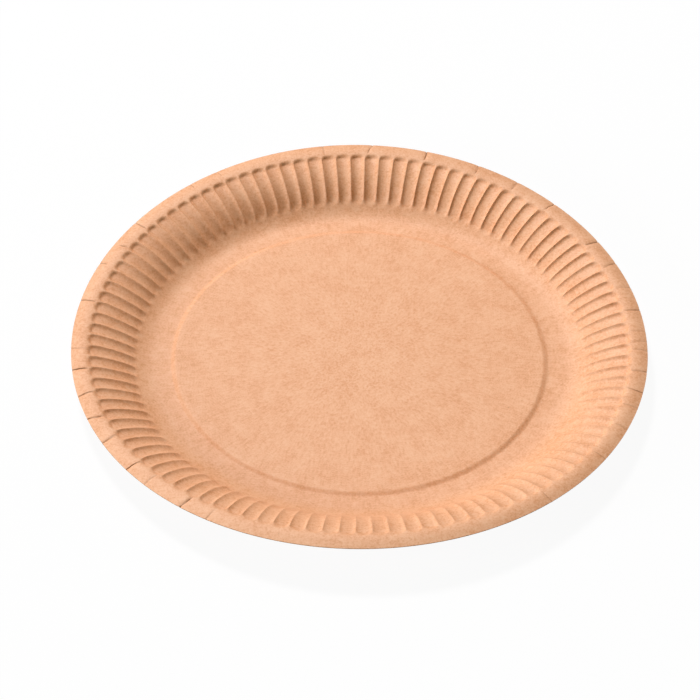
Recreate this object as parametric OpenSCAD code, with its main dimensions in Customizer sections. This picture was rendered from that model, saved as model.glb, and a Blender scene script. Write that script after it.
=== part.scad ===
// Pressed paper plate: one sheet of kraft paperboard with a raised centre, a flat foot, a fluted wall and
// a rim that rolls over to a turned-down lip. The fluted wall takes the most skill: the ridges stand proud
// where they start at the foot and run flush into the rim, the grooves between them end in rounded pockets,
// and both follow a wall that bends two ways and the sheet's slight warp.
// Millimetres, +Z up. The origin is the centre of the flat foot, on the face the plate stands on.

/* [Sheet] */
// Outer diameter of the plate
plate_d = 230; // [200:1:260]
// Thickness of the paperboard
paper_t = 0.5; // [0.3:0.05:0.7]

/* [Centre and foot] */
// Height of the raised centre above the foot
centre_h = 0.9; // [0.3:0.1:1.5]
// Width of the sloping step round the raised centre
step_w = 2; // [1.5:0.1:3]
// Width of the flat foot between the step and the bend up to the wall
foot_w = 5.7; // [3:0.1:12]

/* [Wall] */
// Radius of the bend from the foot up to the wall
foot_bend = 12.5; // [10:0.5:14]
// Steepest angle of the wall
wall_angle = 42; // [38:1:44]
// Width of the wall's straight part, seen from above
straight_w = 1.8; // [1:0.1:4]
// Radius of the shoulder over which the wall flattens out to the rim
shoulder = 34; // [31:1:38]

/* [Rim] */
// Width of the rolled part of the rim, seen from above
roll_w = 5; // [4:0.2:6]
// Width of the straight lip outside the roll, seen from above
lip_w = 2; // [1:0.2:3]
// Slope at which the wall runs into the rolled rim
rise_angle = 11; // [8:1:14]
// Slope of the lip, downwards
droop_angle = 15; // [8:1:28]

/* [Flutes] */
// Number of grooves round the wall
flute_count = 108; // [84:1:116]
// Depth of the grooves
flute_depth = 0.85; // [0.4:0.05:1.25]
// How far the ridges stand proud of the smooth bend where they start
proud_h = 0.4; // [0.3:0.05:0.8]
// Length of a groove, seen from above
flute_run = 19.8; // [14:0.2:20.2]
// Width of the smooth rim outside the grooves
rim_w = 6.7; // [6:0.1:7.5]
// Share of the spacing taken by a groove's rounded floor
floor_share = 0.62; // [0.4:0.02:0.7]
// Depth at the sides of that floor, as a share of the full depth
side_share = 0.84; // [0.6:0.02:0.9]
// Length of the slope that closes each end of a groove
end_w = 1.1; // [0.6:0.1:1.5]

/* [Warp] */
// How far the rim dips on one axis and lifts on the other
warp_h = 2.4; // [0:0.1:3]
// Direction of the dip, turned from +X
warp_turn = 5; // [0:1:90]

/* [Hidden] */
kraft = [0.87, 0.66, 0.49];

// Radii of the places where the section changes, from the edge inwards
plate_r = plate_d / 2;
lip_r = plate_r - lip_w;
roll_r = lip_r - roll_w;
roll_bend = roll_w / (sin(rise_angle) + sin(droop_angle));
straight_r = roll_r - shoulder * (sin(wall_angle) - sin(rise_angle));
bend_r = straight_r - straight_w;
foot_r = bend_r - foot_bend * sin(wall_angle);
step_r = foot_r - foot_w;
centre_r = step_r - step_w;

// Heights at those places, above the foot's upper face
bend_z = foot_bend * (1 - cos(wall_angle));
straight_z = bend_z + straight_w * tan(wall_angle);
roll_z = straight_z + shoulder * (cos(rise_angle) - cos(wall_angle));
lip_z = roll_z + roll_bend * (cos(droop_angle) - cos(rise_angle));

// The base disc laps into the wall's flat inner strip
lap_w = foot_w / 4;
disc_r = foot_r - lap_w;
strip_r = foot_r - 2 * lap_w;
// The step's lower face keeps the sheet's thickness, so it lies a little further in
step_shift = paper_t * tan(atan(centre_h / step_w) / 2);

// The grooves, one ridge and three floor points each
pitch = 360 / flute_count;
flute_out_r = plate_r - rim_w;
flute_in_r = max(foot_r + 2, flute_out_r - flute_run);
side_at = (1 - floor_share) / 2;
phases = [0, side_at, 0.5, 1 - side_at];
depths = [0, side_share, 1, side_share];
// Half the width of a groove's floor, and how far its rounded end falls back at the sides
floor_half = flute_in_r * sin(pitch) * floor_share / 2;
end_round = floor_half * 1.3 - sqrt(pow(floor_half * 1.3, 2) - pow(floor_half, 2));
backs = [end_w + end_round * 1.3, end_w + end_round, end_w, end_w + end_round];
// The warp grows from nothing at the foot to its full height this far up the wall
warp_run = 18;

// Slope of the sheet at a radius
function slope(r) =
    r <= foot_r ? 0
    : r <= bend_r ? asin((r - foot_r) / foot_bend)
    : r <= straight_r ? wall_angle
    : r <= roll_r ? asin(sin(wall_angle) - (r - straight_r) / shoulder)
    : r <= lip_r ? asin(sin(rise_angle) - (r - roll_r) / roll_bend)
    : -droop_angle;

// Height of the sheet's upper face at a radius, above the foot's upper face
function rise(r) =
    r <= foot_r ? 0
    : r <= bend_r ? foot_bend * (1 - cos(slope(r)))
    : r <= straight_r ? bend_z + (r - bend_r) * tan(wall_angle)
    : r <= roll_r ? straight_z + shoulder * (cos(slope(r)) - cos(wall_angle))
    : r <= lip_r ? roll_z + roll_bend * (cos(slope(r)) - cos(rise_angle))
    : lip_z - (r - lip_r) * tan(droop_angle);

// Dip or lift of the warped sheet
function grown(x) = x * x * (3 - 2 * x);
function lift(r, a) = -warp_h * grown(min(1, max(0, (r - foot_r) / warp_run))) * cos(2 * (a - warp_turn));

// A point this deep below the sheet's upper face, square to its section
function sheet_point(r, a, deep) =
    let (out = r + deep * sin(slope(r)))
    [out * cos(a), out * sin(a), paper_t + rise(r) - deep * cos(slope(r)) + lift(r, a)];

// A plain ring of the sheet
function plain_ring(r, deep) = [for (i = [0:flute_count - 1]) sheet_point(r, i * pitch, deep)];

// A ring that crosses the grooves, at a share of their length between the rounded ends
function flute_radius(share, back) = flute_in_r + back + share * (flute_out_r - flute_in_r - 2 * back);
function flute_ring(share, deep) = [
    for (i = [0:flute_count - 1])
        for (j = [0:3])
            sheet_point(
                flute_radius(share, backs[j]),
                (i + phases[j]) * pitch,
                deep + flute_depth * depths[j] - proud_h * (1 - share)
            )
];

// One face of the sheet, ring by ring from the foot to the edge
function sheet_rings(deep) = [
    plain_ring(strip_r, deep),
    plain_ring(foot_r, deep),
    plain_ring(foot_r + (flute_in_r - foot_r) * 0.4, deep),
    plain_ring(foot_r + (flute_in_r - foot_r) * 0.72, deep),
    plain_ring(flute_in_r, deep),
    flute_ring(0, deep),
    flute_ring(0.33, deep),
    flute_ring(0.67, deep),
    flute_ring(1, deep),
    plain_ring(flute_out_r, deep),
    plain_ring((flute_out_r + lip_r) / 2, deep),
    plain_ring(lip_r, deep),
    plain_ring(plate_r, deep)
];

// Triangles between two neighbouring rings that start at points a and b
function even_weave(a, b, n) = [
    for (i = [0:n - 1])
        let (j = (i + 1) % n)
        each [[a + i, a + j, b + j], [a + i, b + j, b + i]]
];
function spread_weave(a, b) = [
    for (i = [0:flute_count - 1])
        let (j = (i + 1) % flute_count, f = b + 4 * i, g = b + 4 * j)
        each [
            [a + i, f + 1, f],
            [a + i, f + 2, f + 1],
            [a + i, a + j, f + 2],
            [a + j, f + 3, f + 2],
            [a + j, g, f + 3]
        ]
];
function gather_weave(a, b) = [
    for (i = [0:flute_count - 1])
        let (j = (i + 1) % flute_count, f = a + 4 * i, g = a + 4 * j)
        each [
            [f, f + 1, b + i],
            [f + 1, f + 2, b + i],
            [f + 2, b + j, b + i],
            [f + 2, f + 3, b + j],
            [f + 3, g, b + j]
        ]
];
function weave(a, b, na, nb) =
    na == nb ? even_weave(a, b, na)
    : na < nb ? spread_weave(a, b)
    : gather_weave(a, b);

// The raised centre and most of the foot
module base_disc() {
    rotate_extrude()
        polygon([
            [0, centre_h],
            [centre_r - step_shift, centre_h],
            [step_r - step_shift, 0],
            [disc_r, 0],
            [disc_r, paper_t],
            [step_r, paper_t],
            [centre_r, paper_t + centre_h],
            [0, paper_t + centre_h]
        ]);
}

// The wall with its grooves, and the rim
module fluted_wall() {
    upper = sheet_rings(0);
    lower = sheet_rings(paper_t);
    last = len(upper) - 1;
    rings = concat(upper, [for (k = [last:-1:0]) lower[k]]);
    starts = [for (k = 0, at = 0; k < len(rings); at = at + len(rings[k]), k = k + 1) at];
    polyhedron(
        points = [for (ring = rings) each ring],
        faces = [
            for (k = [0:len(rings) - 1])
                let (m = (k + 1) % len(rings))
                each weave(starts[k], starts[m], len(rings[k]), len(rings[m]))
        ],
        convexity = 12
    );
}

module plate() {
    color(kraft)
        union() {
            base_disc();
            fluted_wall();
        }
}

plate();
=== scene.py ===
"""A pressed kraft paper plate: the sheet with its flutes and creases, its paper finish, and a small studio."""
import logging
import math
from dataclasses import dataclass, field
from enum import Enum

import bpy
import numpy as np
from mathutils import Matrix, Vector


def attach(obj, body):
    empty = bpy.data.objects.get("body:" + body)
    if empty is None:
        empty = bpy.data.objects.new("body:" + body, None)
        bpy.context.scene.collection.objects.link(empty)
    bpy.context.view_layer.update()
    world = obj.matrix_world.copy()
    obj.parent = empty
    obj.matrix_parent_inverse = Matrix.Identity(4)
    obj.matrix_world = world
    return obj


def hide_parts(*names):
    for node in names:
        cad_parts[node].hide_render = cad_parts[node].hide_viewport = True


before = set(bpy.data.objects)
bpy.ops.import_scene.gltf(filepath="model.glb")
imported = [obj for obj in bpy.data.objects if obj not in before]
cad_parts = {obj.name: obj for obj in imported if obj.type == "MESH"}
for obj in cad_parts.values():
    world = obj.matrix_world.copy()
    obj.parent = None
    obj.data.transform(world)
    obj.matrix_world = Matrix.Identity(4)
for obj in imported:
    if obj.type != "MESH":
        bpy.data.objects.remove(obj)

LOG = logging.getLogger("paper_plate")
MM = 0.001
# Distance from a crease, in millimetres, at which it has no effect
FAR = 99.0
# A mix node has sockets for each kind of data; these are the places of its numbers and of its colours
MIX_NUMBERS, MIXED_NUMBER = (2, 3), 0
MIX_COLOURS, MIXED_COLOUR = (6, 7), 2

Colour = tuple[float, float, float]
Span = tuple[float, float]
Socket = bpy.types.NodeSocket


class Mark(Enum):
    """How clearly a crease in the rim shows, as a share of the deepest one."""

    FAINT = 0.38
    CLEAR = 0.74
    STRONG = 1.0


@dataclass(frozen=True)
class Crease:
    """A pleat that the press has closed in the rim.

    Attributes:
        turn: Place round the rim, in degrees from +X.
        mark: How clearly it shows.
        sway: How far its inner end lies round from its outer end, in millimetres.
        reach: How much of the rim it crosses, from the outer edge inwards.
        skip: How much of the rim it leaves plain at the outer edge.
    """

    turn: float
    mark: Mark
    sway: float = 0.0
    reach: float = 1.0
    skip: float = 0.0


@dataclass(frozen=True)
class Side:
    """One side of the plate: its middle, in degrees from +X, and how narrow it is, as a power."""

    turn: float
    narrow: int

    def share(self, angle: np.ndarray) -> np.ndarray:
        """How much the places at these angles, in radians, lie on this side: from 0 to 1."""
        return np.maximum(0.0, np.cos(angle - math.radians(self.turn))) ** self.narrow


@dataclass(frozen=True)
class Grain:
    """A cloudy pattern: how fine it is, how many levels it has and how strong the finer ones are."""

    scale: float
    detail: float
    roughness: float


@dataclass(frozen=True)
class Socketed:
    """Small helper that adds and links shader nodes in one tree."""

    tree: bpy.types.NodeTree

    def add(self, kind: str, **settings: object) -> bpy.types.Node:
        """Adds a node.

        Args:
            kind: The node's type name.
            **settings: Properties to set on it; a name that starts with in_ sets an input socket.

        Returns:
            The new node.
        """
        node = self.tree.nodes.new(kind)
        for name, value in settings.items():
            if name.startswith("in_"):
                node.inputs[name.removeprefix("in_").replace("_", " ")].default_value = value
            else:
                setattr(node, name, value)
        return node

    def join(self, out: Socket, into: Socket) -> None:
        """Links an output socket to an input socket."""
        self.tree.links.new(out, into)

    def cloud(self, grain: Grain, place: Socket) -> Socket:
        """Adds a cloudy pattern.

        Args:
            grain: How fine the pattern is.
            place: The coordinates to read.

        Returns:
            The pattern's value.
        """
        noise = self.add(
            "ShaderNodeTexNoise", in_Scale=grain.scale, in_Detail=grain.detail, in_Roughness=grain.roughness
        )
        self.join(place, noise.inputs["Vector"])
        return noise.outputs["Fac"]

    def average(self, first: Socket, second: Socket, share: float) -> Socket:
        """Mixes two values.

        Args:
            first: The first value.
            second: The second value.
            share: The share of the second value.

        Returns:
            The mixed value.
        """
        mix = self.add("ShaderNodeMix", data_type="FLOAT", in_Factor=share)
        for value, at in zip((first, second), MIX_NUMBERS):
            self.join(value, mix.inputs[at])
        return mix.outputs[MIXED_NUMBER]

    def spread(self, value: Socket, source: Span, target: Span) -> Socket:
        """Maps a value from one range to another, and holds it there.

        Args:
            value: The value.
            source: The range it comes from.
            target: The range it goes to.

        Returns:
            The mapped value.
        """
        node = self.add(
            "ShaderNodeMapRange",
            in_From_Min=source[0],
            in_From_Max=source[1],
            in_To_Min=target[0],
            in_To_Max=target[1],
        )
        self.join(value, node.inputs["Value"])
        return node.outputs["Result"]

    def ramp(self, value: Socket, *stops: tuple[float, Colour]) -> Socket:
        """Turns a value into a colour.

        Args:
            value: The value.
            *stops: Values and their colours, from the lowest to the highest.

        Returns:
            The colour.
        """
        node = self.add("ShaderNodeValToRGB")
        steps = node.color_ramp.elements
        first, *between, last = stops
        for step, (at, colour) in zip(steps, (first, last)):
            step.position = at
            step.color = (*colour, 1.0)
        for at, colour in between:
            steps.new(at).color = (*colour, 1.0)
        self.join(value, node.inputs["Fac"])
        return node.outputs["Color"]

    def tint(self, colour: Socket, over: Colour, share: Socket) -> Socket:
        """Lays a plain colour over another.

        Args:
            colour: The colour so far.
            over: The plain colour.
            share: How much of it covers the other.

        Returns:
            The mixed colour.
        """
        lay = self.add("ShaderNodeMix", data_type="RGBA")
        below, above = (lay.inputs[at] for at in MIX_COLOURS)
        above.default_value = (*over, 1.0)
        self.join(share, lay.inputs["Factor"])
        self.join(colour, below)
        return lay.outputs[MIXED_COLOUR]


def empty_material(name: str) -> tuple[bpy.types.Material, Socketed, bpy.types.Node]:
    """Makes a material with nothing but its output node.

    Args:
        name: The material's name.

    Returns:
        The material, the helper for its nodes, and its output node.
    """
    material = bpy.data.materials.new(name)
    material.use_nodes = True
    material.node_tree.nodes.clear()
    sockets = Socketed(material.node_tree)
    return material, sockets, sockets.add("ShaderNodeOutputMaterial")


@dataclass(frozen=True)
class KraftFinish:
    """Uncoated kraft paperboard: fibre clouds, loose fibres, specks and a soft, dry face.

    Attributes:
        name: The material's name.
        pale: Colour of the palest fibres.
        middle: Colour of most of the sheet.
        deep: Colour of the darkest fibres.
        speck_and_crease_shade: Colour of the specks, and of the painted shade at the bottom of the creases.
        roughness: The face's roughness, where its fibres are low and high.
        specular: How strongly the face reflects.
        clouds: The pattern of the pulp's clouds.
        fibre: The pattern of the matted fibres.
        grain: The pattern of the finest grain.
        fibre_share: Share of the fibres next to the clouds.
        grain_share: Share of the finest grain next to both.
        grain_strength: How strongly the grain roughens the light.
        grain_height: Height of the grain, in metres.
        strand_scale: Fineness of the loose strands along, across and through the sheet.
        strand_cut: Where in their pattern the strands begin and are full.
        speck_scale: Fineness of the cells that hold one speck each.
        speck_size: Distance from a cell's point where a speck begins to fade and has gone.
        speck_pick: Which part of the cells has a speck, from none to full.
        speck_dark: How dark the fullest specks are.
    """

    name: str = "kraft_paper"
    pale: Colour = (0.927, 0.527, 0.312)
    middle: Colour = (0.867, 0.451, 0.248)
    deep: Colour = (0.748, 0.342, 0.158)
    # Also the colour of the painted shade at the bottom of the creases
    speck_and_crease_shade: Colour = (0.30, 0.13, 0.055)
    roughness: Span = (0.5, 0.66)
    specular: float = 0.35
    clouds: Grain = Grain(115.0, 4.0, 0.68)
    fibre: Grain = Grain(640.0, 5.0, 0.68)
    grain: Grain = Grain(1300.0, 3.0, 0.65)
    fibre_share: float = 0.56
    grain_share: float = 0.4
    grain_strength: float = 0.55
    grain_height: float = 0.00006
    strand_scale: tuple[float, float, float] = (260.0, 1900.0, 700.0)
    strand_cut: Span = (0.58, 0.74)
    speck_scale: float = 185.0
    speck_size: Span = (0.045, 0.085)
    speck_pick: Span = (0.80, 0.98)
    speck_dark: float = 0.6

    def make(self) -> bpy.types.Material:
        """Builds the material.

        Returns:
            The finished paper material.
        """
        material, nodes, out = empty_material(self.name)
        place = nodes.add("ShaderNodeTexCoord").outputs["Object"]
        fibre = nodes.cloud(self.fibre, place)
        matted = nodes.average(nodes.cloud(self.clouds, place), fibre, self.fibre_share)
        pulp = nodes.average(matted, nodes.cloud(self.grain, place), self.grain_share)
        colour = nodes.ramp(pulp, (0.4, self.deep), (0.5, self.middle), (0.6, self.pale))
        colour = self.lay_strands(nodes, place, colour)
        colour = self.lay_specks(nodes, place, colour)
        # Painted shade: a dark line in the colour along the bottom of each crease
        colour = self.paint_crease_shade(nodes, colour)
        dry = nodes.spread(fibre, (0.0, 1.0), self.roughness)
        bump = nodes.add("ShaderNodeBump", in_Strength=self.grain_strength, in_Distance=self.grain_height)
        nodes.join(pulp, bump.inputs["Height"])
        paper = nodes.add("ShaderNodeBsdfPrincipled")
        paper.inputs["Specular IOR Level"].default_value = self.specular
        nodes.join(colour, paper.inputs["Base Color"])
        nodes.join(dry, paper.inputs["Roughness"])
        nodes.join(bump.outputs["Normal"], paper.inputs["Normal"])
        nodes.join(paper.outputs["BSDF"], out.inputs["Surface"])
        return material

    def lay_strands(self, nodes: Socketed, place: Socket, colour: Socket) -> Socket:
        """Lays short pale and dark strands of fibre over the colour, in three directions.

        Args:
            nodes: Helper for the material's nodes.
            place: The coordinates to read.
            colour: The colour so far.

        Returns:
            The colour with the strands in it.
        """
        for turn, tint, share in ((0.35, self.pale, 0.42), (1.5, self.deep, 0.36), (2.6, self.pale, 0.38)):
            lie = nodes.add("ShaderNodeMapping", in_Rotation=(0.0, 0.0, turn), in_Scale=self.strand_scale)
            nodes.join(place, lie.inputs["Vector"])
            strand = nodes.add("ShaderNodeTexNoise", in_Scale=1.0, in_Detail=2.0, in_Distortion=0.7)
            nodes.join(lie.outputs["Vector"], strand.inputs["Vector"])
            cut = nodes.spread(strand.outputs["Fac"], self.strand_cut, (0.0, share))
            colour = nodes.tint(colour, tint, cut)
        return colour

    def lay_specks(self, nodes: Socketed, place: Socket, colour: Socket) -> Socket:
        """Scatters the small dark specks of unbleached pulp.

        Args:
            nodes: Helper for the material's nodes.
            place: The coordinates to read.
            colour: The colour so far.

        Returns:
            The colour with the specks in it.
        """
        cells = nodes.add("ShaderNodeTexVoronoi", in_Scale=self.speck_scale)
        nodes.join(place, cells.inputs["Vector"])
        near = nodes.spread(cells.outputs["Distance"], self.speck_size, (1.0, 0.0))
        few = nodes.spread(cells.outputs["Color"], self.speck_pick, (0.0, self.speck_dark))
        both = nodes.add("ShaderNodeMath", operation="MULTIPLY")
        nodes.join(near, both.inputs[0])
        nodes.join(few, both.inputs[1])
        return nodes.tint(colour, self.speck_and_crease_shade, both.outputs[0])

    def paint_crease_shade(self, nodes: Socketed, colour: Socket) -> Socket:
        """Paints shade into the colour: a dark line along the bottom of each closed pleat, where the crease's
        shade falls.

        Args:
            nodes: Helper for the material's nodes.
            colour: The colour so far.

        Returns:
            The colour with the folds in it.
        """
        # The attribute holds the painted shade for the bottom of each crease
        crease_shade = nodes.add("ShaderNodeAttribute", attribute_name="crease_shade")
        return nodes.tint(colour, self.speck_and_crease_shade, crease_shade.outputs["Fac"])


@dataclass(frozen=True)
class CutEdgeFinish:
    """The sheet's cut edge, where the core of the board shows darker and rougher.

    Attributes:
        name: The material's name.
        light: Colour of the palest plies.
        dark: Colour of the darkest plies.
        plies: The pattern of the plies.
        ply_strength: How strongly the plies roughen the light.
        ply_height: Height of the plies, in metres.
        roughness: The edge's roughness.
        specular: How strongly the edge reflects.
    """

    name: str = "kraft_cut_edge"
    light: Colour = (0.58, 0.27, 0.1)
    dark: Colour = (0.4, 0.16, 0.055)
    plies: Grain = Grain(1300.0, 4.0, 0.7)
    ply_strength: float = 0.5
    ply_height: float = 0.0001
    roughness: float = 0.9
    specular: float = 0.2

    def make(self) -> bpy.types.Material:
        """Builds the material.

        Returns:
            The finished edge material.
        """
        material, nodes, out = empty_material(self.name)
        place = nodes.add("ShaderNodeTexCoord").outputs["Object"]
        plies = nodes.cloud(self.plies, place)
        colour = nodes.ramp(plies, (0.35, self.dark), (0.65, self.light))
        bump = nodes.add("ShaderNodeBump", in_Strength=self.ply_strength, in_Distance=self.ply_height)
        nodes.join(plies, bump.inputs["Height"])
        edge = nodes.add("ShaderNodeBsdfPrincipled", in_Roughness=self.roughness)
        edge.inputs["Specular IOR Level"].default_value = self.specular
        nodes.join(colour, edge.inputs["Base Color"])
        nodes.join(bump.outputs["Normal"], edge.inputs["Normal"])
        nodes.join(edge.outputs["BSDF"], out.inputs["Surface"])
        return material


@dataclass(frozen=True)
class FloorFinish:
    """The studio's white floor, which keeps a soft shadow.

    Attributes:
        name: The material's name.
        white: Colour of the floor.
        glow: Share of plain white that the camera and reflections see in it.
    """

    name: str = "studio_floor"
    white: Colour = (0.92, 0.92, 0.92)
    glow: float = 0.94

    def make(self) -> bpy.types.Material:
        """Builds the material.

        Returns:
            The finished floor material.
        """
        material, nodes, out = empty_material(self.name)
        matt = nodes.add("ShaderNodeBsdfDiffuse", in_Color=(*self.white, 1.0))
        light = nodes.add("ShaderNodeEmission", in_Strength=1.0)
        path = nodes.add("ShaderNodeLightPath")
        seen = nodes.add("ShaderNodeMath", operation="MAXIMUM")
        nodes.join(path.outputs["Is Camera Ray"], seen.inputs[0])
        nodes.join(path.outputs["Is Glossy Ray"], seen.inputs[1])
        share = nodes.add("ShaderNodeMath", operation="MULTIPLY")
        share.inputs[1].default_value = self.glow
        nodes.join(seen.outputs[0], share.inputs[0])
        both = nodes.add("ShaderNodeMixShader")
        nodes.join(share.outputs[0], both.inputs[0])
        nodes.join(matt.outputs["BSDF"], both.inputs[1])
        nodes.join(light.outputs["Emission"], both.inputs[2])
        nodes.join(both.outputs["Shader"], out.inputs["Surface"])
        return material


@dataclass
class PressedPlate:
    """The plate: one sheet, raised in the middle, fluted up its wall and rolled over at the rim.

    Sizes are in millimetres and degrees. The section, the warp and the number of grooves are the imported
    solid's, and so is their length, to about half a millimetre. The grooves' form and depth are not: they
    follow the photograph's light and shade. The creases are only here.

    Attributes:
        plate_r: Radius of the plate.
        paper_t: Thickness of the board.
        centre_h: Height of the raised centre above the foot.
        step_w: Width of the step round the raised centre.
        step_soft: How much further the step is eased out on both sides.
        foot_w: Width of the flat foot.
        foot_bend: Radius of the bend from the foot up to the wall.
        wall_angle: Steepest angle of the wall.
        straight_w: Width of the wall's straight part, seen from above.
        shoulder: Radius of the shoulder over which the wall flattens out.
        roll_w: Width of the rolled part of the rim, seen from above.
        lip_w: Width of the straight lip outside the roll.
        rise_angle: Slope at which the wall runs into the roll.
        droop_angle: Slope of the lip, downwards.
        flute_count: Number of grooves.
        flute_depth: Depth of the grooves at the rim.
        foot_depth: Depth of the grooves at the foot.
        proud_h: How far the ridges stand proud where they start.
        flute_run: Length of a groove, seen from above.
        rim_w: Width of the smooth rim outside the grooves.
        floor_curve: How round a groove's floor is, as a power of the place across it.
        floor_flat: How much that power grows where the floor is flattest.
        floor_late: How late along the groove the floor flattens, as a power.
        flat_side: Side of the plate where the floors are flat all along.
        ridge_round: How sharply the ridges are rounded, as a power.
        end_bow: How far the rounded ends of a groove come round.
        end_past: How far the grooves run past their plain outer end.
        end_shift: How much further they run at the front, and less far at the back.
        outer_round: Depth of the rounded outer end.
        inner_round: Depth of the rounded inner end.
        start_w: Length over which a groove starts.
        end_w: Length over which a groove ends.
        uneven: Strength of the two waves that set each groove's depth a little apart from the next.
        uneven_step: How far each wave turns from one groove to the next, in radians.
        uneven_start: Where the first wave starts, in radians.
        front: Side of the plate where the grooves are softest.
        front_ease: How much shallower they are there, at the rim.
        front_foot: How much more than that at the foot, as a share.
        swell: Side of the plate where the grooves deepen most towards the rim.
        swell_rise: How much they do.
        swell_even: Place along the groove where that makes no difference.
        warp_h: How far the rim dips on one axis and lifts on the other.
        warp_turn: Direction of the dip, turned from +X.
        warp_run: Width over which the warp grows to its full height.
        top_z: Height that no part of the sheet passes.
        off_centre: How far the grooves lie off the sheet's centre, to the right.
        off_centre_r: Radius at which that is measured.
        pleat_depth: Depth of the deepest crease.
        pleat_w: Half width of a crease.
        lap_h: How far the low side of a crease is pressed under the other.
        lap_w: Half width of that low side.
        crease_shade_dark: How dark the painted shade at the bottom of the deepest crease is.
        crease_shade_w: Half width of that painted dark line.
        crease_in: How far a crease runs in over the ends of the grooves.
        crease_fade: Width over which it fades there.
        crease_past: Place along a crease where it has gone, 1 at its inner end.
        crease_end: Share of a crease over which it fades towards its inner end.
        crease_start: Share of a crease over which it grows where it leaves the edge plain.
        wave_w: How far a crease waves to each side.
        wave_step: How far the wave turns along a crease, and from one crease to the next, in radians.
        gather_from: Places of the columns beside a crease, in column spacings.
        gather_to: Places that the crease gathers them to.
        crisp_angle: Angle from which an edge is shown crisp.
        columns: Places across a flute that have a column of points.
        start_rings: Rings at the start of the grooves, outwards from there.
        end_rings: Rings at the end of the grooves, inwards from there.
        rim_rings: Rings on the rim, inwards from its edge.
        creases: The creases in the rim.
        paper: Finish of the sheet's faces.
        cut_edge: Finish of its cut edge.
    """

    plate_r: float = 115.0
    paper_t: float = 0.5
    centre_h: float = 0.9
    step_w: float = 2.0
    step_soft: float = 0.2
    foot_w: float = 5.7
    foot_bend: float = 12.5
    wall_angle: float = 42.0
    straight_w: float = 1.8
    shoulder: float = 34.0
    roll_w: float = 5.0
    lip_w: float = 2.0
    rise_angle: float = 11.0
    droop_angle: float = 15.0
    flute_count: int = 108
    flute_depth: float = 1.1
    foot_depth: float = 0.9
    proud_h: float = 0.4
    flute_run: float = 19.8
    rim_w: float = 6.7
    floor_curve: float = 2.0
    floor_flat: float = 4.0
    floor_late: int = 3
    flat_side: Side = Side(20.0, 2)
    ridge_round: float = 16.0
    end_bow: float = 0.96
    end_past: float = 0.3
    end_shift: float = 0.45
    outer_round: float = 2.8
    inner_round: float = 1.3
    start_w: float = 2.1
    end_w: float = 1.4
    uneven: Span = (0.06, 0.04)
    uneven_step: Span = (2.399, 5.17)
    uneven_start: float = 0.6
    front: Side = Side(285.0, 3)
    front_ease: float = 0.38
    front_foot: float = 0.5
    swell: Side = Side(350.0, 4)
    swell_rise: float = 0.6
    swell_even: float = 0.7
    warp_h: float = 2.4
    warp_turn: float = 5.0
    warp_run: float = 18.0
    top_z: float = 16.02
    off_centre: float = 0.3
    off_centre_r: float = 100.0
    pleat_depth: float = 0.36
    pleat_w: float = 0.2
    lap_h: float = 0.12
    lap_w: float = 1.1
    # Painted shade along the bottom of the creases, laid into the paper's colour
    crease_shade_dark: float = 0.95
    crease_shade_w: float = 0.19
    crease_in: float = 0.2
    crease_fade: float = 0.6
    crease_past: float = 1.02
    crease_end: float = 0.25
    crease_start: float = 0.15
    wave_w: float = 0.16
    wave_step: Span = (5.0, 1.7)
    gather_from: tuple[float, ...] = (0.0, 1.0, 2.0, 3.0, 4.0, 6.5)
    gather_to: tuple[float, ...] = (0.0, 0.22, 0.6, 1.5, 3.0, 6.5)
    crisp_angle: float = 55.0
    columns: tuple[float, ...] = (0.0, 0.04, 0.09, 0.16, 0.3, 0.5, 0.7, 0.84, 0.91, 0.96)
    start_rings: tuple[float, ...] = (-0.1, 0.35, 0.75, 1.2, 1.7, 2.3, 3.0, 4.0)
    end_rings: tuple[float, ...] = (4.2, 3.2, 2.4, 1.8, 1.3, 0.8, 0.3, -0.2)
    rim_rings: tuple[float, ...] = (5.6, 4.6, 3.6, 2.7, 1.9, 1.0, 0.35, 0.01)
    creases: tuple[Crease, ...] = ()
    paper: KraftFinish = field(default_factory=KraftFinish)
    cut_edge: CutEdgeFinish = field(default_factory=CutEdgeFinish)

    def __post_init__(self) -> None:
        """Works out the radii and heights where the sheet's section changes."""
        steep, rising = self.sin(self.wall_angle), self.sin(self.rise_angle)
        self.lip_r = self.plate_r - self.lip_w
        self.roll_r = self.lip_r - self.roll_w
        self.roll_bend = self.roll_w / (rising + self.sin(self.droop_angle))
        self.straight_r = self.roll_r - self.shoulder * (steep - rising)
        self.bend_r = self.straight_r - self.straight_w
        self.foot_r = self.bend_r - self.foot_bend * steep
        self.step_r = self.foot_r - self.foot_w
        self.centre_r = self.step_r - self.step_w
        self.bend_z = self.foot_bend * (1.0 - self.cos(self.wall_angle))
        self.straight_z = self.bend_z + self.straight_w * self.tan(self.wall_angle)
        self.roll_z = self.straight_z + self.shoulder * (self.cos(self.rise_angle) - self.cos(self.wall_angle))
        self.lip_z = self.roll_z + self.roll_bend * (self.cos(self.droop_angle) - self.cos(self.rise_angle))
        self.flute_out = self.plate_r - self.rim_w
        self.flute_in = self.flute_out - self.flute_run
        self.pitch = 2.0 * math.pi / self.flute_count

    @staticmethod
    def sin(angle: float) -> float:
        """Sine of an angle in degrees."""
        return math.sin(math.radians(angle))

    @staticmethod
    def cos(angle: float) -> float:
        """Cosine of an angle in degrees."""
        return math.cos(math.radians(angle))

    @staticmethod
    def tan(angle: float) -> float:
        """Tangent of an angle in degrees."""
        return math.tan(math.radians(angle))

    @staticmethod
    def ease(x: np.ndarray) -> np.ndarray:
        """Smooth step from 0 to 1."""
        x = np.clip(x, 0.0, 1.0)
        return x * x * (3.0 - 2.0 * x)

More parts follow.
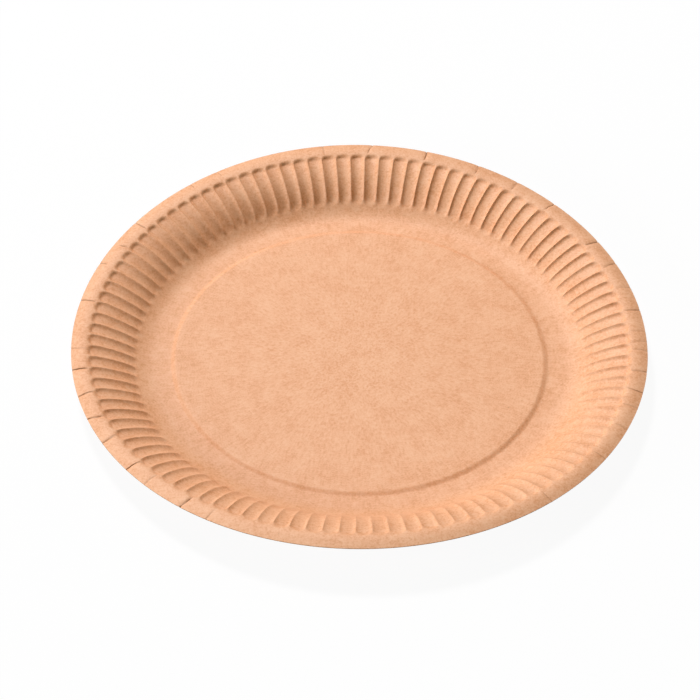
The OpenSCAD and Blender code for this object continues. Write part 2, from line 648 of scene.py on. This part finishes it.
    def by_section(self, r: np.ndarray, parts: list[np.ndarray], lip: np.ndarray) -> np.ndarray:
        """Picks, for each radius, the value of the part of the section that it lies on.

        Args:
            r: Radii, in millimetres.
            parts: Values for the base, the bend, the straight wall, the shoulder and the roll.
            lip: Values for the lip.

        Returns:
            One value for each radius.
        """
        ends = (self.foot_r, self.bend_r, self.straight_r, self.roll_r, self.lip_r)
        return np.select([r <= end for end in ends], parts, lip)

    def slope_sine(self, r: np.ndarray) -> np.ndarray:
        """Sine of the sheet's slope along its section.

        Args:
            r: Radii, in millimetres.

        Returns:
            The sines, one for each radius.
        """
        steep = self.sin(self.wall_angle) + 0.0 * r
        bend = (r - self.foot_r) / self.foot_bend
        shoulder = steep - (r - self.straight_r) / self.shoulder
        roll = self.sin(self.rise_angle) - (r - self.roll_r) / self.roll_bend
        lip = -self.sin(self.droop_angle) + 0.0 * r
        return self.by_section(r, [0.0 * r, bend, steep, shoulder, roll], lip)

    def rise(self, r: np.ndarray) -> np.ndarray:
        """Height of the sheet's upper face above the foot's upper face, with the raised centre.

        Args:
            r: Radii, in millimetres.

        Returns:
            The heights, in millimetres.
        """
        level = np.sqrt(1.0 - self.slope_sine(r) ** 2)
        past = (r - self.centre_r + self.step_soft) / (self.step_w + 2.0 * self.step_soft)
        base = self.centre_h * (1.0 - self.ease(past))
        bend = self.foot_bend * (1.0 - level)
        straight = self.bend_z + (r - self.bend_r) * self.tan(self.wall_angle)
        shoulder = self.straight_z + self.shoulder * (level - self.cos(self.wall_angle))
        roll = self.roll_z + self.roll_bend * (level - self.cos(self.rise_angle))
        lip = self.lip_z - (r - self.lip_r) * self.tan(self.droop_angle)
        return self.by_section(r, [base, bend, straight, shoulder, roll], lip)

    def ring_radii(self) -> list[float]:
        """Radii of the rings that the sheet is drawn out through, from the centre to the edge.

        Returns:
            The radii in millimetres.
        """
        # The rings lie closest where the section bends and where the grooves start and end
        centre = [46.0, self.centre_r - 2.5]
        step = list(np.linspace(self.centre_r - 0.4, self.step_r + 0.4, 7))
        foot = [self.step_r + 2.4]
        bend = list(np.linspace(self.foot_r - 0.2, self.flute_in - 0.8, 5))
        start = list(self.flute_in + np.array(self.start_rings))
        wall = list(np.linspace(self.flute_in + 6.0, self.flute_out - 6.4, 4))
        end = list(self.flute_out - np.array(self.end_rings))
        rim = list(self.plate_r - np.array(self.rim_rings))
        return centre + step + foot + bend + start + wall + end + rim

    def draw_sheet(self) -> bpy.types.Object:
        """Adds a filled circle and draws its edge out ring by ring, flat, to the plate's edge.

        Returns:
            The flat ringed sheet.
        """
        radii = self.ring_radii()
        bpy.ops.object.select_all(action="DESELECT")
        bpy.ops.mesh.primitive_circle_add(
            vertices=self.flute_count * len(self.columns), radius=radii[0] * MM, fill_type="TRIFAN"
        )
        sheet = bpy.context.object
        sheet.name = "pressed_plate"
        bpy.ops.object.mode_set(mode="EDIT")
        bpy.ops.mesh.select_mode(type="EDGE")
        bpy.ops.mesh.select_all(action="SELECT")
        bpy.ops.mesh.region_to_loop()
        for inner, outer in zip(radii, radii[1:]):
            grow = outer / inner
            bpy.ops.mesh.extrude_edges_move()
            bpy.ops.transform.resize(value=(grow, grow, 1.0), center_override=(0.0, 0.0, 0.0))
        bpy.ops.mesh.select_all(action="SELECT")
        bpy.ops.mesh.normals_make_consistent(inside=False)
        bpy.ops.object.mode_set(mode="OBJECT")
        return sheet

    def hollow(self, across: np.ndarray, share: np.ndarray, angle: np.ndarray) -> np.ndarray:
        """Form of the grooves across their width: a rounded floor, flatter towards the rim, and round ridges.

        Args:
            across: Distance from the middle of the groove, 1 on the ridges.
            share: Place along the groove, from 0 at the foot to 1 at the rim.
            angle: Angles, in radians.

        Returns:
            Depths from 0 on the ridges to 1 in the middle.
        """
        flat = np.maximum(share**self.floor_late, self.flat_side.share(angle))
        floor = self.floor_curve + self.floor_flat * flat
        ridge = floor + self.ridge_round
        flank = across**floor / floor - across**ridge / ridge
        return 1.0 - flank / (1.0 / floor - 1.0 / ridge)

    def firmness(self, share: np.ndarray, angle: np.ndarray) -> np.ndarray:
        """How firmly the grooves are pressed: softer at the front, and on one side more at the rim.

        Args:
            share: Place along the groove, from 0 at the foot to 1 at the rim.
            angle: Angles, in radians.

        Returns:
            Factors for the depth.
        """
        soft = self.front_ease * self.front.share(angle) * (1.0 + self.front_foot - self.front_foot * share)
        deeper = self.swell_rise * self.swell.share(angle) * (share - self.swell_even)
        return 1.0 - soft + deeper

    def unevenness(self, flute: np.ndarray) -> np.ndarray:
        """Small differences in depth from groove to groove.

        Args:
            flute: Number of the flute.

        Returns:
            Factors for the depth.
        """
        first, second = self.uneven
        first_step, second_step = self.uneven_step
        wave = 1.0 + first * np.sin(flute * first_step + self.uneven_start)
        return wave + second * np.sin(flute * second_step)

    def groove_depth(
        self, r: np.ndarray, phase: np.ndarray, flute: np.ndarray, angle: np.ndarray
    ) -> np.ndarray:
        """Depth of the grooves below the sheet's plain section, less what the ridges stand proud at the foot.

        Args:
            r: Radii, in millimetres.
            phase: Place across the flute, from 0 at one ridge to 1 at the next.
            flute: Number of the flute, for its small difference from its neighbours.
            angle: Angles, in radians.

        Returns:
            The depths, in millimetres.
        """
        across = np.abs(2.0 * phase - 1.0)
        share = np.clip((r - self.flute_in) / self.flute_run, 0.0, 1.0)
        round_off = 1.0 - np.sqrt(1.0 - self.end_bow * across**2)
        outer = self.flute_out + self.end_past - self.end_shift * np.sin(angle) - self.outer_round * round_off
        inner = self.flute_in + self.inner_round * round_off
        start = self.ease((r - inner) / self.start_w)
        ends = self.ease((outer - r) / self.end_w) * start
        deep = self.foot_depth + (self.flute_depth - self.foot_depth) * share
        proud = self.proud_h * (1.0 - share) * start
        plain = deep * self.hollow(across, share, angle) * ends * self.unevenness(flute) - proud
        return plain * self.firmness(share, angle)

    def press(self, sheet: bpy.types.Object) -> None:
        """Presses the flat sheet to shape: columns to the flutes, then section, grooves, creases and warp.

        Args:
            sheet: The flat ringed sheet.
        """
        mesh = sheet.data
        flat = np.empty(len(mesh.vertices) * 3)
        mesh.vertices.foreach_get("co", flat)
        flat = flat.reshape(-1, 3) / MM
        r = np.hypot(flat[:, 0], flat[:, 1])
        per = len(self.columns)
        column = np.rint(np.arctan2(flat[:, 1], flat[:, 0]) / self.pitch * per).astype(int)
        flute, place = np.divmod(column % (self.flute_count * per), per)
        phase = np.array(self.columns)[place]
        angle = (flute + phase) * self.pitch
        angle -= self.off_centre * np.sin(angle) / self.off_centre_r
        angle, pleat, crease_shade = self.close_pleats(r, angle)
        depth = self.groove_depth(r, phase, flute, angle) + pleat
        sine = self.slope_sine(r)
        level = np.sqrt(1.0 - sine**2)
        out = r + depth * sine
        lift = -self.warp_h * self.ease((r - self.foot_r) / self.warp_run)
        height = self.paper_t + self.rise(r) - depth * level
        height += lift * np.cos(2.0 * (angle - math.radians(self.warp_turn)))
        height = np.minimum(height, self.top_z)
        pressed = np.stack([out * np.cos(angle), out * np.sin(angle), height], axis=1) * MM
        mesh.vertices.foreach_set("co", pressed.ravel())
        # Painted shade for the bottom of each crease, stored on the points for the paper's colour
        crease_shade_layer = mesh.attributes.new("crease_shade", "FLOAT", "POINT")
        crease_shade_layer.data.foreach_set("value", crease_shade)
        mesh.update()

    def close_pleats(self, r: np.ndarray, angle: np.ndarray) -> tuple[np.ndarray, np.ndarray, np.ndarray]:
        """Gathers the rim's columns at each crease, sinks the crease between a low and a raised lip and paints
        shade along its bottom.

        Args:
            r: Radii, in millimetres.
            angle: Angles, in radians.

        Returns:
            The gathered angles, the depth of the creases and the painted shade along their bottoms.
        """
        pleat = np.zeros_like(r)
        crease_shade = np.zeros_like(r)
        gathered = angle.copy()
        on_rim = self.ease((r - self.flute_out + self.crease_in) / self.crease_fade)
        spacing = self.pitch / len(self.columns)
        along, between = self.wave_step
        for number, crease in enumerate(self.creases):
            inward = np.clip((self.plate_r - r) / (self.rim_w * crease.reach), 0.0, 1.0)
            wave = self.wave_w * np.sin(inward * along + number * between)
            centre = math.radians(crease.turn) + (crease.sway * inward + wave) / self.plate_r
            away = (angle - centre + math.pi) % (2.0 * math.pi) - math.pi
            steps = np.abs(away) / spacing
            drawn = np.sign(away) * np.interp(steps, self.gather_from, self.gather_to) * spacing
            near = (steps < self.gather_from[-1]) & (r > self.flute_out - self.crease_in)
            gathered = np.where(near, gathered + (drawn - away) * on_rim, gathered)
            side = np.where(near, drawn * r, FAR)
            strength = crease.mark.value * self.ease((self.crease_past - inward) / self.crease_end) * on_rim
            strength = strength * self.ease((inward - crease.skip) / self.crease_start + 1.0)
            lap = np.where(side > 0.0, self.lap_h * np.exp(-((side / self.lap_w) ** 2)), 0.0)
            pleat += strength * (self.pleat_depth * np.exp(-((side / self.pleat_w) ** 2)) + lap)
            # Painted shade: a dark line along the bottom of the crease
            crease_shade = np.maximum(crease_shade, self.crease_shade_dark * strength * np.exp(-((side / self.crease_shade_w) ** 2)))
        return gathered, pleat, crease_shade

    def thicken(self, sheet: bpy.types.Object) -> None:
        """Gives the sheet the board's thickness downwards, with its cut edge in the second finish.

        Args:
            sheet: The pressed sheet.
        """
        board = sheet.modifiers.new("board", "SOLIDIFY")
        board.thickness = self.paper_t * MM
        board.offset = -1.0
        board.material_offset_rim = 1
        bpy.context.view_layer.objects.active = sheet
        bpy.ops.object.modifier_apply(modifier=board.name)

    def build(self) -> bpy.types.Object:
        """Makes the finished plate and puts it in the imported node's place.

        Returns:
            The plate.
        """
        sheet = self.draw_sheet()
        self.press(sheet)
        sheet.data.materials.append(self.paper.make())
        sheet.data.materials.append(self.cut_edge.make())
        self.thicken(sheet)
        bpy.ops.object.select_all(action="DESELECT")
        sheet.select_set(True)
        bpy.context.view_layer.objects.active = sheet
        bpy.ops.object.shade_smooth_by_angle(angle=math.radians(self.crisp_angle))
        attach(sheet, "root")
        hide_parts("plate")
        return sheet


@dataclass(frozen=True)
class SoftLight:
    """A round soft light that faces the plate.

    Attributes:
        name: The light's name.
        turn: Where it hangs round the plate, in degrees from +X.
        elevation: How high it hangs, in degrees above the floor.
        distance: Its distance from the plate, in metres.
        size: Its diameter, in metres.
        power: Its power, in watts.
        colour: Its colour, next to white.
    """

    name: str
    turn: float
    elevation: float
    distance: float
    size: float
    power: float
    colour: Colour = (1.0, 1.0, 1.0)

    def hang(self) -> bpy.types.Object:
        """Hangs the light in its place.

        Returns:
            The light.
        """
        turn, rise = math.radians(self.turn), math.radians(self.elevation)
        level = math.cos(rise)
        towards = Vector((math.cos(turn) * level, math.sin(turn) * level, math.sin(rise)))
        bpy.ops.object.light_add(type="AREA", location=towards * self.distance)
        lamp = bpy.context.object
        lamp.name = self.name
        lamp.data.shape = "DISK"
        lamp.data.size = self.size
        lamp.data.energy = self.power
        lamp.data.color = self.colour
        lamp.rotation_euler = towards.to_track_quat("Z", "Y").to_euler()
        return lamp


@dataclass
class Studio:
    """The white floor, a high key light, a low side light and a camera at the photograph's viewing angle.

    Attributes:
        floor_size: Length of the floor's sides, in metres.
        floor_z: Height of the floor, in metres: just below the plate.
        camera_turn: How far the camera stands round from the front, in degrees.
        camera_elevation: How high it stands, in degrees above the floor.
        camera_roll: How far it is tilted sideways, in degrees.
        camera_distance: Its distance from the place it aims at, in metres.
        camera_aim: The place it aims at, in metres.
        camera_lens: Its focal length, in millimetres.
        camera_sensor: Width of its sensor, in millimetres.
        camera_shift: How far its picture is shifted, across and up, as a share of its size.
        camera_clip: The nearest and furthest distance it sees, in metres.
        key: The high key light.
        side: The low side light.
        sky_strength: Strength of the even light.
        sky_colour: Colour of the even light.
        floor: Finish of the floor.
    """

    floor_size: float = 6.0
    floor_z: float = -0.0003
    camera_turn: float = 0.4
    camera_elevation: float = 44.62
    camera_roll: float = 0.807
    camera_distance: float = 1.075
    camera_aim: tuple[float, float, float] = (0.0, 0.0, 0.0005)
    camera_lens: float = 137.36
    camera_sensor: float = 36.0
    camera_shift: Span = (-0.01336, 0.01039)
    camera_clip: Span = (0.01, 50.0)
    key: SoftLight = SoftLight(
        "key_light", turn=115.0, elevation=56.5, distance=3.0, size=0.55, power=79.0, colour=(1.05, 1.0, 1.04)
    )
    side: SoftLight = SoftLight(
        "side_light", turn=202.0, elevation=16.0, distance=3.0, size=1.0, power=48.0, colour=(0.9, 1.0, 1.12)
    )
    sky_strength: float = 0.09
    sky_colour: Colour = (0.8, 1.0, 0.45)
    floor: FloorFinish = field(default_factory=FloorFinish)

    def lay_floor(self) -> bpy.types.Object:
        """Adds the floor under the plate.

        Returns:
            The floor.
        """
        bpy.ops.object.select_all(action="DESELECT")
        bpy.ops.mesh.primitive_plane_add(size=self.floor_size, location=(0.0, 0.0, self.floor_z))
        ground = bpy.context.object
        ground.name = "studio_floor"
        ground.data.materials.append(self.floor.make())
        return ground

    def light_sky(self) -> None:
        """Fills the room with weak, even light and shows white where the camera sees past the floor."""
        world = bpy.data.worlds.new("studio_sky")
        world.use_nodes = True
        world.node_tree.nodes.clear()
        nodes = Socketed(world.node_tree)
        out = nodes.add("ShaderNodeOutputWorld")
        fill = nodes.add(
            "ShaderNodeBackground", in_Color=(*self.sky_colour, 1.0), in_Strength=self.sky_strength
        )
        white = nodes.add("ShaderNodeBackground", in_Color=(1.0, 1.0, 1.0, 1.0), in_Strength=1.0)
        path = nodes.add("ShaderNodeLightPath")
        both = nodes.add("ShaderNodeMixShader")
        nodes.join(path.outputs["Is Camera Ray"], both.inputs[0])
        nodes.join(fill.outputs["Background"], both.inputs[1])
        nodes.join(white.outputs["Background"], both.inputs[2])
        nodes.join(both.outputs["Shader"], out.inputs["Surface"])
        bpy.context.scene.world = world

    def set_camera(self) -> bpy.types.Object:
        """Stands the camera at the photograph's viewing angle.

        Returns:
            The camera.
        """
        rise = math.radians(self.camera_elevation)
        about = Matrix.Rotation(math.radians(self.camera_turn), 3, "Z")
        back = about @ Vector((0.0, -math.cos(rise), math.sin(rise)))
        up = about @ Vector((0.0, math.sin(rise), math.cos(rise)))
        turn = Matrix((up.cross(back), up, back)).transposed()
        turn = turn @ Matrix.Rotation(math.radians(self.camera_roll), 3, "Z")
        bpy.ops.object.camera_add(location=Vector(self.camera_aim) + back * self.camera_distance)
        camera = bpy.context.object
        camera.name = "photo_camera"
        camera.rotation_euler = turn.to_euler()
        camera.data.lens = self.camera_lens
        camera.data.sensor_width = self.camera_sensor
        camera.data.shift_x, camera.data.shift_y = self.camera_shift
        camera.data.clip_start, camera.data.clip_end = self.camera_clip
        bpy.context.scene.camera = camera
        return camera

    def build(self) -> None:
        """Sets up the floor, the lights, the sky and the camera."""
        self.lay_floor()
        self.key.hang()
        self.side.hang()
        self.light_sky()
        self.set_camera()
        bpy.context.scene.view_settings.view_transform = "Standard"


RIM_CREASES: tuple[Crease, ...] = (
    Crease(0.9, Mark.FAINT, -0.9),
    Crease(3.8, Mark.FAINT, 0.1),
    Crease(10.2, Mark.CLEAR, -0.5),
    Crease(16.9, Mark.FAINT, 0.1),
    Crease(24.3, Mark.CLEAR, -1.0),
    Crease(31.4, Mark.STRONG, 0.4),
    Crease(45.5, Mark.CLEAR, -0.4),
    Crease(55.3, Mark.CLEAR, -0.9),
    Crease(64.6, Mark.CLEAR, -0.8),
    Crease(76.5, Mark.STRONG, -0.7),
    Crease(88.3, Mark.CLEAR, 1.7),
    Crease(98.9, Mark.FAINT, 0.2),
    Crease(122.8, Mark.FAINT, 0.0, 0.7),
    Crease(129.6, Mark.FAINT, 0.1, 0.6),
    Crease(145.4, Mark.CLEAR, 0.8),
    Crease(153.0, Mark.CLEAR, -0.6, 1.0, 0.5),
    Crease(159.0, Mark.CLEAR, 0.1, 0.55),
    Crease(170.2, Mark.CLEAR, 0.1),
    Crease(184.0, Mark.FAINT, 1.2),
    Crease(190.0, Mark.STRONG, 1.2),
    Crease(197.9, Mark.CLEAR, -1.1),
    Crease(204.4, Mark.STRONG, 1.5),
    Crease(211.8, Mark.CLEAR, -1.0),
    Crease(220.4, Mark.CLEAR, 1.0),
    Crease(226.0, Mark.FAINT, 0.1),
    Crease(235.2, Mark.STRONG, 1.2),
    Crease(240.9, Mark.FAINT, 1.4, 0.8),
    Crease(309.9, Mark.FAINT, -0.2, 0.8),
    Crease(325.9, Mark.FAINT, -0.1, 0.8),
    Crease(335.3, Mark.FAINT, 0.1, 0.8),
    Crease(341.6, Mark.FAINT, 0.0),
    Crease(346.2, Mark.CLEAR, 0.6),
    Crease(352.3, Mark.CLEAR, -1.1),
    Crease(358.2, Mark.FAINT, 0.0),
)


def main() -> None:
    """Builds the plate and its studio."""
    logging.basicConfig(level=logging.INFO, format="%(name)s: %(message)s")
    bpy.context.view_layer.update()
    plate = PressedPlate(creases=RIM_CREASES).build()
    LOG.info("%s: %d faces", plate.name, len(plate.data.polygons))
    Studio().build()
    LOG.info("studio: floor, two soft lights, sky and camera")


if __name__ == "__main__":
    main()
